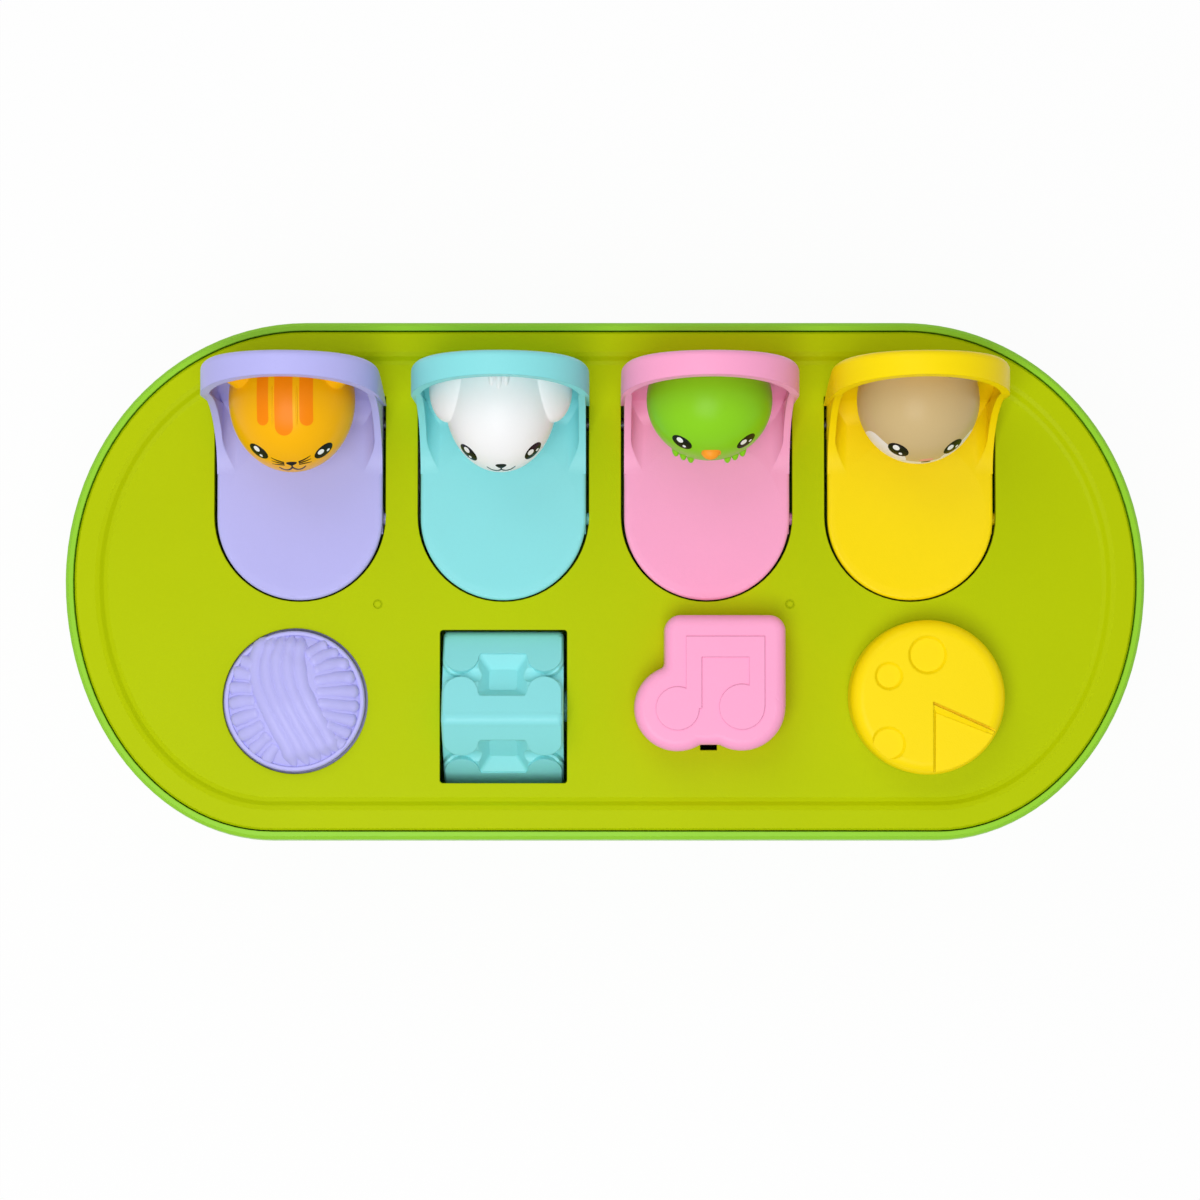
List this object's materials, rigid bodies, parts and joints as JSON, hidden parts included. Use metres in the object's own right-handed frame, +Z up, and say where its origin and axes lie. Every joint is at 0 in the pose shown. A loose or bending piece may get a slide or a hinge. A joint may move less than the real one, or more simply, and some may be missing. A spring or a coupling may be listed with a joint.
{
  "type": "pop up animal toy",
  "caption": "Oval push-and-pop toy base with hinged scoop flaps that carry animal heads, worked by a push button, a roller, a slider and a turning dial.",
  "frame": {"origin": "centre of the bounding box at the underside of the feet", "axes": "+X to the toy's right, +Y to its rear where the flaps are hinged, +Z up"},
  "size_m": [0.34, 0.1634, 0.1294],
  "materials": {
    "lime_plastic": "satin",
    "green_plastic": "satin",
    "lavender_plastic": "satin",
    "aqua_plastic": "satin",
    "pink_plastic": "satin",
    "yellow_plastic": "satin",
    "orange_plastic": "satin",
    "white_plastic": "satin",
    "leaf_plastic": "satin",
    "beige_plastic": "satin",
    "natural_plastic": "matte",
    "steel": "satin",
    "rubber": "matte"
  },
  "bodies": {
    "base": {"top_cover": "lime_plastic", "bottom_tray": "green_plastic", "cover_screws": "steel", "rubber_feet": "rubber", "button_spring": "steel", "cat_hinge_pin": "steel", "dog_hinge_pin": "steel", "bird_hinge_pin": "steel", "mouse_hinge_pin": "steel", "cat_latch_pin": "steel", "dog_latch_pin": "steel", "bird_latch_pin": "steel", "mouse_latch_pin": "steel"},
    "cat_flap": {"cat_flap": "lavender_plastic", "cat_head": "orange_plastic", "cat_hinge_spring": "steel"},
    "dog_flap": {"dog_flap": "aqua_plastic", "dog_head": "white_plastic", "dog_hinge_spring": "steel"},
    "bird_flap": {"bird_flap": "pink_plastic", "bird_head": "leaf_plastic", "bird_hinge_spring": "steel"},
    "mouse_flap": {"mouse_flap": "yellow_plastic", "mouse_head": "beige_plastic", "mouse_hinge_spring": "steel"},
    "cat_latch": {"cat_latch": "natural_plastic", "cat_latch_spring": "steel"},
    "dog_latch": {"dog_latch": "natural_plastic", "dog_latch_spring": "steel"},
    "bird_latch": {"bird_latch": "natural_plastic", "bird_latch_spring": "steel"},
    "mouse_latch": {"mouse_latch": "natural_plastic", "mouse_latch_spring": "steel"},
    "yarn_button": {"yarn_button": "lavender_plastic"},
    "bone_roller": {"bone_roller": "aqua_plastic", "roller_axle": "steel", "roller_cam": "natural_plastic"},
    "note_slider": {"note_knob": "pink_plastic", "note_carriage": "natural_plastic", "note_screw": "steel"},
    "cheese_dial": {"cheese_dial": "yellow_plastic", "dial_cam": "natural_plastic", "dial_screw": "steel"}
  },
  "joints": [
    {"name": "cat_flap_hinge", "type": "hinge", "parent": "base", "child": "cat_flap", "pos_m": [-0.096, 0.0497, 0.069], "axis": [1, 0, 0], "range_deg": [0, 90], "stiffness_Nm_per_rad": 0.008, "springref_deg": -20.05},
    {"name": "dog_flap_hinge", "type": "hinge", "parent": "base", "child": "dog_flap", "pos_m": [-0.032, 0.0497, 0.069], "axis": [1, 0, 0], "range_deg": [0, 90], "stiffness_Nm_per_rad": 0.008, "springref_deg": -20.05},
    {"name": "bird_flap_hinge", "type": "hinge", "parent": "base", "child": "bird_flap", "pos_m": [0.032, 0.0497, 0.069], "axis": [1, 0, 0], "range_deg": [0, 90], "stiffness_Nm_per_rad": 0.008, "springref_deg": -20.05},
    {"name": "mouse_flap_hinge", "type": "hinge", "parent": "base", "child": "mouse_flap", "pos_m": [0.096, 0.0497, 0.069], "axis": [1, 0, 0], "range_deg": [0, 90], "stiffness_Nm_per_rad": 0.008, "springref_deg": -20.05},
    {"name": "cat_latch_pivot", "type": "hinge", "parent": "base", "child": "cat_latch", "pos_m": [-0.0615, 0.005, 0.045], "axis": [1, 0, 0], "range_deg": [0, 7.2], "stiffness_Nm_per_rad": 0.05, "springref_deg": -5.73},
    {"name": "dog_latch_pivot", "type": "hinge", "parent": "base", "child": "dog_latch", "pos_m": [0.0025, 0.005, 0.045], "axis": [1, 0, 0], "range_deg": [0, 7.2], "stiffness_Nm_per_rad": 0.05, "springref_deg": -5.73},
    {"name": "bird_latch_pivot", "type": "hinge", "parent": "base", "child": "bird_latch", "pos_m": [0.0665, 0.005, 0.045], "axis": [1, 0, 0], "range_deg": [0, 7.2], "stiffness_Nm_per_rad": 0.05, "springref_deg": -5.73},
    {"name": "mouse_latch_pivot", "type": "hinge", "parent": "base", "child": "mouse_latch", "pos_m": [0.1305, 0.005, 0.045], "axis": [1, 0, 0], "range_deg": [0, 7.2], "stiffness_Nm_per_rad": 0.05, "springref_deg": -5.73},
    {"name": "yarn_button_press", "type": "slide", "parent": "base", "child": "yarn_button", "axis": [0, 0, -1], "range_m": [0, 0.005], "stiffness_N_per_m": 250, "springref_m": -0.002, "deforming": ["button_spring"]},
    {"name": "bone_roller_spin", "type": "hinge", "parent": "base", "child": "bone_roller", "pos_m": [-0.032, -0.0396, 0.058], "axis": [1, 0, 0], "continuous": true},
    {"name": "note_slide", "type": "slide", "parent": "base", "child": "note_slider", "axis": [0, -1, 0], "range_m": [0, 0.01]},
    {"name": "cheese_dial_turn", "type": "hinge", "parent": "base", "child": "cheese_dial", "pos_m": [0.1002, -0.0367, 0.074], "axis": [0, 0, 1], "range_deg": [0, 60]}
  ],
  "couplings": [
    {"joint": "cat_latch_pivot", "follows": "yarn_button_press", "rad_per_m": 23.213},
    {"joint": "bird_latch_pivot", "follows": "note_slide", "rad_per_m": 12.217},
    {"joint": "mouse_latch_pivot", "follows": "cheese_dial_turn", "ratio": 0.11667}
  ]
}
